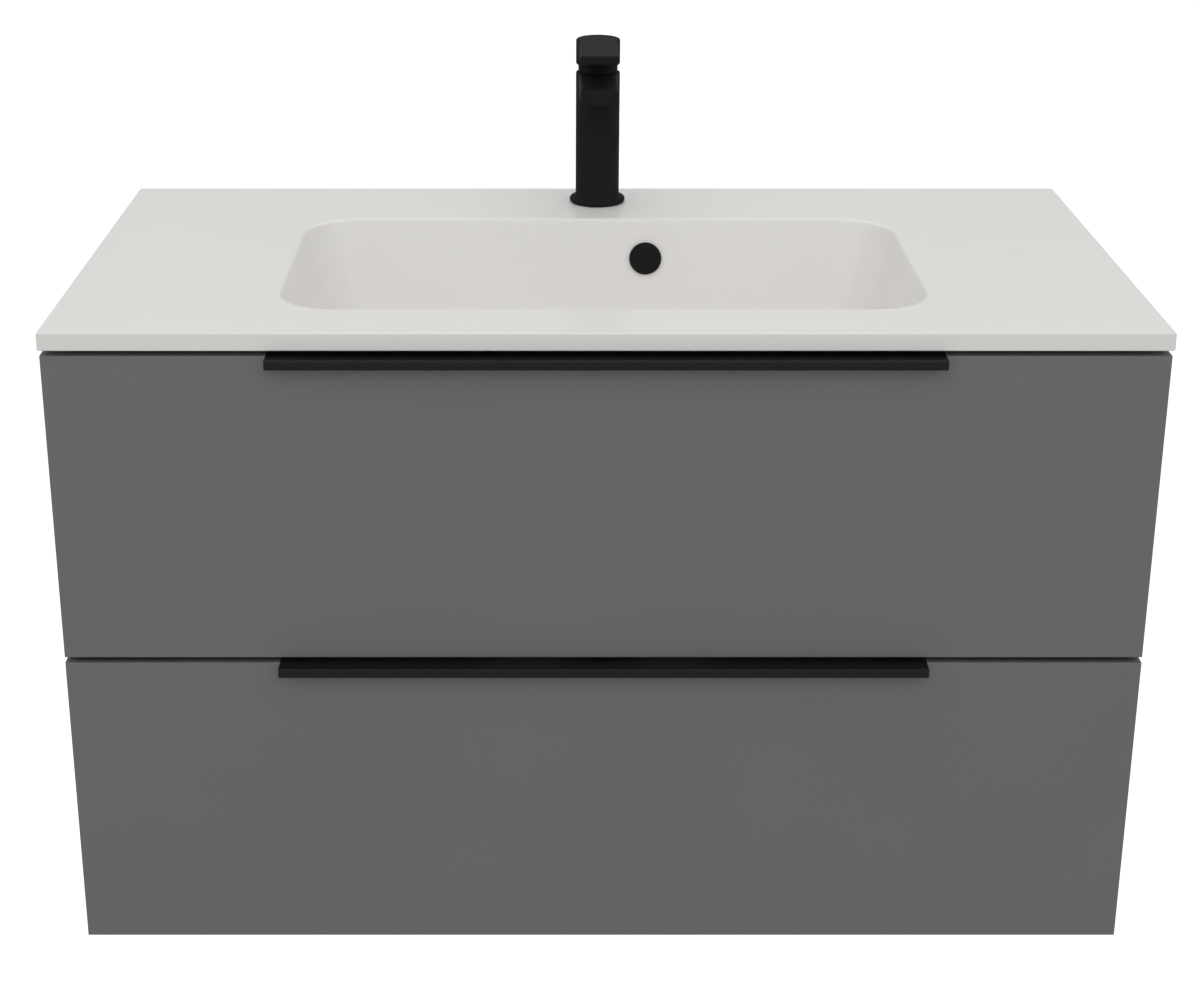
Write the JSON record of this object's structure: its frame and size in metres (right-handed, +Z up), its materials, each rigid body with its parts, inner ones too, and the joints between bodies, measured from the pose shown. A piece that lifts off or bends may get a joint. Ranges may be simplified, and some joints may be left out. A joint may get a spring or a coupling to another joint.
{
  "type": "bathroom vanity cabinet",
  "caption": "Wall-hung bathroom vanity with integrated rectangular basin top, black lever tap, overflow cover and stacked drawers with edge handles.",
  "frame": {"origin": "on the wall plane, midway between the two wall screws, 60 mm below the counter's upper face", "axes": "+X to the right seen from the front, +Y into the wall, +Z up; the drawers open along -Y"},
  "size_m": [0.9, 0.47, 0.7125],
  "materials": {
    "grey_front": "matt grey lacquered fibreboard",
    "grey_board": "matt grey melamine-faced chipboard",
    "drawer_board": "light grey melamine-faced board",
    "cast_white": "satin white cast mineral",
    "black_aluminium": "black anodised",
    "black_brass": "matt black coating",
    "black_trim": "matt black coating",
    "bare_brass": "turned",
    "zinc_steel": "zinc plated",
    "beech": "fluted beech",
    "white_plastic": "moulded polypropylene",
    "grey_plastic": "moulded",
    "rubber": "moulded",
    "clear_pad": "soft translucent"
  },
  "bodies": {
    "cabinet": {"side_panel_left": "grey_board", "side_panel_right": "grey_board", "bottom_panel": "grey_board", "front_top_rail": "grey_board", "rear_top_rail": "grey_board", "rear_bottom_rail": "grey_board", "dowels": "beech", "cam_fittings": "zinc_steel", "carcass_screws": "zinc_steel", "front_buffers": "clear_pad", "cabinet_hangers": "white_plastic", "hanger_hooks": "zinc_steel", "wall_plates": "zinc_steel", "basin_top": "cast_white", "overflow_cover": "black_trim", "tap_body": "black_brass", "tap_aerator": "grey_plastic", "tap_cartridge": "grey_plastic", "tap_cartridge_nut": "bare_brass", "tap_base_gasket": "rubber", "tap_stud": "zinc_steel", "tap_clamp_washer": "zinc_steel", "tap_clamp_nut": "bare_brass", "waste_body": "black_trim", "waste_gaskets": "rubber", "waste_nut": "bare_brass", "trap_union_nut": "white_plastic", "trap_inlet_tube": "white_plastic", "trap_top_nut": "white_plastic", "trap_body": "white_plastic", "trap_cup": "white_plastic", "trap_outlet_nut": "white_plastic", "trap_outlet_pipe": "white_plastic", "upper_runner_outer": "zinc_steel", "lower_runner_outer": "zinc_steel"},
    "tap_swivel": {"tap_swivel_collar": "black_brass", "tap_pivot_pin": "zinc_steel"},
    "tap_lever": {"tap_lever": "black_brass", "tap_stem": "grey_plastic", "tap_grub_screw": "zinc_steel"},
    "waste_plug": {"waste_plug": "black_trim"},
    "upper_drawer": {"upper_drawer_front": "grey_front", "upper_handle": "black_aluminium", "upper_handle_screws": "zinc_steel", "upper_drawer_side_left": "drawer_board", "upper_drawer_side_right": "drawer_board", "upper_drawer_base": "drawer_board", "upper_drawer_back": "drawer_board", "upper_runner_inner": "zinc_steel", "upper_cutout_walls": "drawer_board"},
    "upper_runner_middle": {"upper_runner_middle": "zinc_steel"},
    "lower_drawer": {"lower_drawer_front": "grey_front", "lower_handle": "black_aluminium", "lower_handle_screws": "zinc_steel", "lower_drawer_side_left": "drawer_board", "lower_drawer_side_right": "drawer_board", "lower_drawer_base": "drawer_board", "lower_drawer_back": "drawer_board", "lower_runner_inner": "zinc_steel"},
    "lower_runner_middle": {"lower_runner_middle": "zinc_steel"}
  },
  "joints": [
    {"name": "upper_drawer_slide", "type": "slide", "parent": "cabinet", "child": "upper_drawer", "axis": [0, -1, 0], "range_m": [0, 0.38]},
    {"name": "upper_runner_slide", "type": "slide", "parent": "cabinet", "child": "upper_runner_middle", "axis": [0, -1, 0], "range_m": [0, 0.19]},
    {"name": "lower_drawer_slide", "type": "slide", "parent": "cabinet", "child": "lower_drawer", "axis": [0, -1, 0], "range_m": [0, 0.38]},
    {"name": "lower_runner_slide", "type": "slide", "parent": "cabinet", "child": "lower_runner_middle", "axis": [0, -1, 0], "range_m": [0, 0.19]},
    {"name": "tap_turn", "type": "hinge", "parent": "cabinet", "child": "tap_swivel", "pos_m": [0, -0.05, 0.19], "axis": [0, 0, 1], "range_deg": [-45, 45]},
    {"name": "tap_lift", "type": "hinge", "parent": "tap_swivel", "child": "tap_lever", "pos_m": [0, -0.05, 0.19], "axis": [-1, 0, 0], "range_deg": [0, 18]},
    {"name": "waste_plug_lift", "type": "slide", "parent": "cabinet", "child": "waste_plug", "axis": [0, 0, 1], "range_m": [0, 0.009]}
  ],
  "couplings": [
    {"joint": "upper_runner_slide", "follows": "upper_drawer_slide", "ratio": 0.5},
    {"joint": "lower_runner_slide", "follows": "lower_drawer_slide", "ratio": 0.5}
  ]
}
